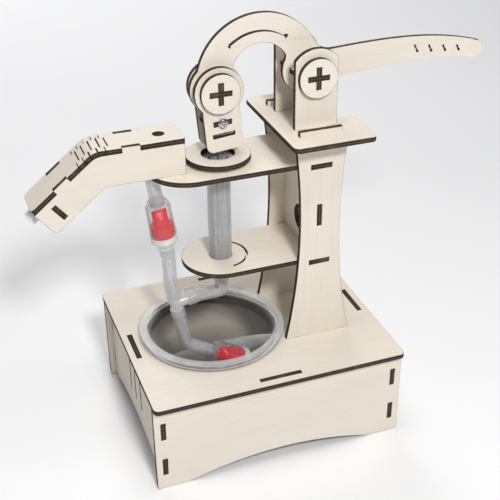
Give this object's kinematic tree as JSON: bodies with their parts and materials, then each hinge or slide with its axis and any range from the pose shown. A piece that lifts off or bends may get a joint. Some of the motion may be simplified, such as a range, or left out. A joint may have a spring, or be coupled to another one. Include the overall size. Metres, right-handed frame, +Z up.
{
  "type": "lever water pump kit",
  "caption": "Hand lever water pump kit in laser-cut plywood: a hinged handle lifts a syringe plunger, and check valves send cup water to a spout.",
  "frame": {"origin": "on the table, below the middle of the whole object's length and width", "axes": "+Z up; +X along the base towards the handle, with the spout at -X; -Y is the front panel"},
  "size_m": [0.2839, 0.1346, 0.2656],
  "materials": {
    "wood": "matte",
    "clear_plastic": "gloss",
    "syringe_plastic": "satin",
    "hose_pvc": "satin",
    "tee_plastic": "satin",
    "white_plastic": "gloss",
    "red_rubber": "satin",
    "seal_rubber": "matte",
    "screw_steel": "polished"
  },
  "bodies": {
    "root": {"base_top_plate": "wood", "base_front_panel": "wood", "base_back_panel": "wood", "base_left_panel": "wood", "base_right_panel": "wood", "water_cup": "clear_plastic", "column_front_plate": "wood", "column_rear_plate": "wood", "column_spine": "wood", "upper_shelf": "wood", "lower_shelf": "wood", "platform": "wood", "pivot_bracket_front": "wood", "pivot_bracket_rear": "wood", "syringe_barrel": "syringe_plastic", "retaining_ring": "wood", "spout_front_plate": "wood", "spout_rear_plate": "wood", "spout_top_plate": "wood", "spout_hose_plate": "wood", "outlet_valve_body": "clear_plastic", "outlet_valve_duckbill": "red_rubber", "outlet_valve_base": "white_plastic", "inlet_valve_body": "clear_plastic", "inlet_valve_duckbill": "red_rubber", "inlet_valve_base": "white_plastic", "tee_connector": "tee_plastic", "spout_hose": "hose_pvc", "riser_hose": "hose_pvc", "pump_hose": "hose_pvc", "pickup_hose": "hose_pvc"},
    "lever": {"lever_arm": "wood", "lever_axle_blade_level": "wood", "lever_axle_blade_upright": "wood", "lever_cap_front": "wood", "lever_cap_rear": "wood", "link_axle_blade_level": "wood", "link_axle_blade_upright": "wood", "link_cap_front": "wood", "link_cap_rear": "wood"},
    "link": {"link_plate_front": "wood", "link_plate_rear": "wood", "link_crossbar": "wood", "link_screw": "screw_steel", "link_nut": "screw_steel"},
    "plunger": {"plunger_rod": "syringe_plastic", "plunger_seal": "seal_rubber"}
  },
  "joints": [
    {"name": "lever_swing", "type": "hinge", "parent": "root", "child": "lever", "pos_m": [0.026, 0, 0.23], "axis": [0, 1, 0], "range_deg": [-2, 28]},
    {"name": "link_pin", "type": "hinge", "parent": "lever", "child": "link", "pos_m": [-0.0288, 0, 0.2253], "axis": [0, 1, 0], "range_deg": [-19.65, 1.45]},
    {"name": "plunger_slide", "type": "slide", "parent": "root", "child": "plunger", "axis": [0, 0, 1], "range_m": [-0.00189, 0.0264]}
  ],
  "couplings": [
    {"joint": "link_pin", "follows": "lever_swing", "ratio": -0.7},
    {"joint": "plunger_slide", "follows": "lever_swing", "m_per_rad": 0.054}
  ]
}
